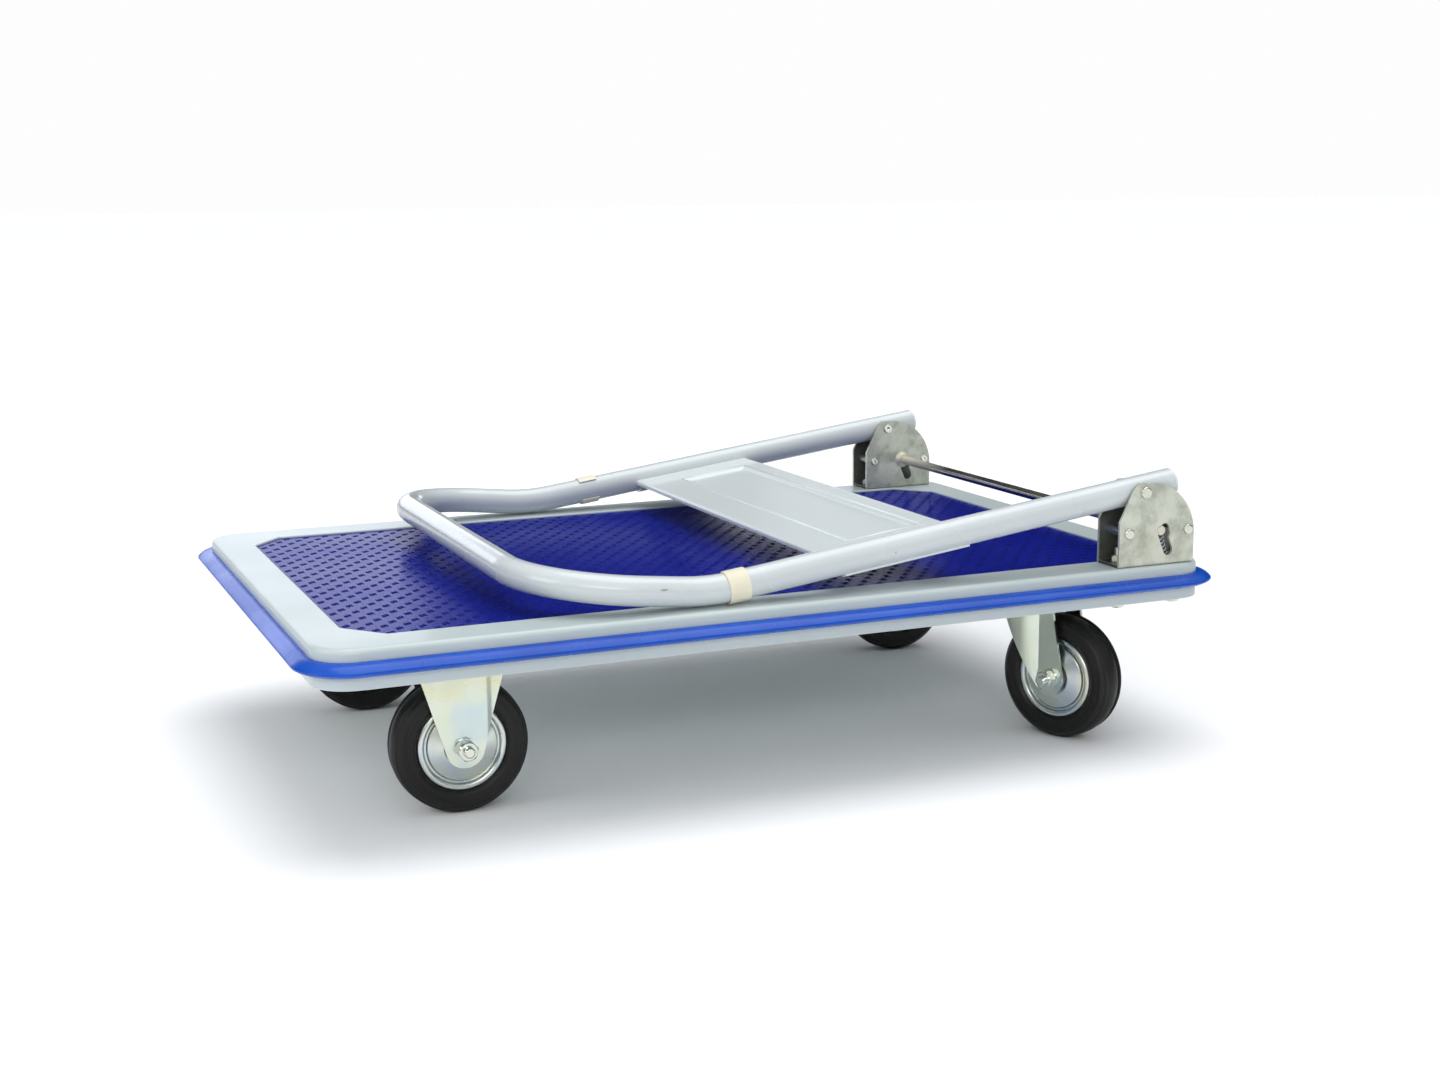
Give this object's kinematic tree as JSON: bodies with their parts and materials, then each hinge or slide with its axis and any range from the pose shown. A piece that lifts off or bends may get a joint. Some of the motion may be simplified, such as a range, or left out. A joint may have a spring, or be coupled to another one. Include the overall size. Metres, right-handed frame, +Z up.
{
  "type": "folding platform cart",
  "caption": "Folding platform cart: pressed steel deck with rubber mat and edge bumper, tubular handle folded flat in sprung-latch brackets, fixed and swivel casters.",
  "frame": {"origin": "on the floor, under the middle of the deck", "axes": "+Z up, +X along the deck towards the handle brackets and swivel casters, +Y across the deck to the left of someone at the middle who looks towards +X"},
  "size_m": [0.91, 0.61, 0.2741],
  "materials": {
    "white_enamel": "gloss white stoved enamel with a cool tint",
    "handle_enamel": "satin light grey-white paint",
    "panel_enamel": "satin light grey-white paint",
    "navy_vinyl": "embossed navy vinyl mat",
    "blue_bumper": "satin blue soft vinyl",
    "galvanised_sheet": "hot-dip galvanised, mottled",
    "zinc_fasteners": "bright zinc plate",
    "zinc_fork": "zinc plate with a faint blue and yellow passivation tint",
    "rod_plating": "bright zinc plate, warm tint",
    "spring_steel": "drawn spring wire",
    "bearing_steel": "greased bright steel",
    "black_rubber": "charcoal rubber",
    "rim_zinc": "pressed steel, zinc plate",
    "cream_clip": "cream plastic",
    "white_plastic": "white moulded plastic",
    "natural_nylon": "natural nylon"
  },
  "bodies": {
    "platform": {"deck_pan": "white_enamel", "anti_slip_mat": "navy_vinyl", "edge_bumper": "blue_bumper", "caster_channels": "white_enamel", "deck_stiffeners": "white_enamel", "bracket_supports": "white_enamel", "handle_bracket_near": "galvanised_sheet", "handle_bracket_far": "galvanised_sheet", "bracket_bolts": "zinc_fasteners", "bracket_nuts": "zinc_fasteners", "pivot_pins": "zinc_fasteners", "stop_rivets": "zinc_fasteners", "stop_spacers": "spring_steel", "anchor_rivets": "zinc_fasteners", "anchor_spacers": "spring_steel", "release_springs": "spring_steel", "caster_plate_bolts": "zinc_fasteners", "caster_plate_nuts": "zinc_fasteners", "swivel_plates": "zinc_fork", "swivel_balls": "bearing_steel", "swivel_kingpins": "zinc_fasteners", "fixed_fork_near": "zinc_fork", "fixed_axle_bolt_near": "zinc_fasteners", "fixed_axle_nut_near": "zinc_fasteners", "fixed_axle_sleeve_near": "bearing_steel", "fixed_fork_far": "zinc_fork", "fixed_axle_bolt_far": "zinc_fasteners", "fixed_axle_nut_far": "zinc_fasteners", "fixed_axle_sleeve_far": "bearing_steel"},
    "handle": {"handle_tube": "handle_enamel", "handle_end_plugs": "white_plastic", "pivot_bushes": "natural_nylon", "handle_panel": "panel_enamel", "handle_clips": "cream_clip"},
    "release": {"release_rod": "rod_plating", "rod_collars": "rod_plating"},
    "swivel_near": {"swivel_fork_near": "zinc_fork", "swivel_axle_bolt_near": "zinc_fasteners", "swivel_axle_nut_near": "zinc_fasteners", "swivel_axle_sleeve_near": "bearing_steel"},
    "fixed_wheel_near": {"fixed_tyre_near": "black_rubber", "fixed_rim_near": "rim_zinc", "fixed_hub_near": "bearing_steel", "fixed_bearing_near": "bearing_steel"},
    "swivel_wheel_near": {"swivel_tyre_near": "black_rubber", "swivel_rim_near": "rim_zinc", "swivel_hub_near": "bearing_steel", "swivel_bearing_near": "bearing_steel"},
    "swivel_far": {"swivel_fork_far": "zinc_fork", "swivel_axle_bolt_far": "zinc_fasteners", "swivel_axle_nut_far": "zinc_fasteners", "swivel_axle_sleeve_far": "bearing_steel"},
    "fixed_wheel_far": {"fixed_tyre_far": "black_rubber", "fixed_rim_far": "rim_zinc", "fixed_hub_far": "bearing_steel", "fixed_bearing_far": "bearing_steel"},
    "swivel_wheel_far": {"swivel_tyre_far": "black_rubber", "swivel_rim_far": "rim_zinc", "swivel_hub_far": "bearing_steel", "swivel_bearing_far": "bearing_steel"}
  },
  "joints": [
    {"name": "handle_fold", "type": "hinge", "parent": "platform", "child": "handle", "pos_m": [0.3635, 0, 0.2553], "axis": [0, 1, 0], "range_deg": [0, 97.5]},
    {"name": "release_press", "type": "slide", "parent": "platform", "child": "release", "axis": [0.3681, 0, -0.9298], "range_m": [0, 0.0205], "stiffness_N_per_m": 800, "springref_m": -0.01, "deforming": ["release_springs"]},
    {"name": "fixed_wheel_near_spin", "type": "hinge", "parent": "platform", "child": "fixed_wheel_near", "pos_m": [-0.298, -0.1865, 0.0625], "axis": [0, 1, 0], "continuous": true},
    {"name": "swivel_near_turn", "type": "hinge", "parent": "platform", "child": "swivel_near", "pos_m": [0.308, -0.1865, 0.15], "axis": [0, 0, 1], "continuous": true},
    {"name": "swivel_wheel_near_spin", "type": "hinge", "parent": "swivel_near", "child": "swivel_wheel_near", "pos_m": [0.3202, -0.21391, 0.0625], "axis": [0.9135, 0.4067, 0], "continuous": true},
    {"name": "fixed_wheel_far_spin", "type": "hinge", "parent": "platform", "child": "fixed_wheel_far", "pos_m": [-0.298, 0.1865, 0.0625], "axis": [0, 1, 0], "continuous": true},
    {"name": "swivel_far_turn", "type": "hinge", "parent": "platform", "child": "swivel_far", "pos_m": [0.308, 0.1865, 0.15], "axis": [0, 0, 1], "continuous": true},
    {"name": "swivel_wheel_far_spin", "type": "hinge", "parent": "swivel_far", "child": "swivel_wheel_far", "pos_m": [0.33796, 0.18493, 0.0625], "axis": [0.0523, 0.9986, 0], "continuous": true}
  ]
}
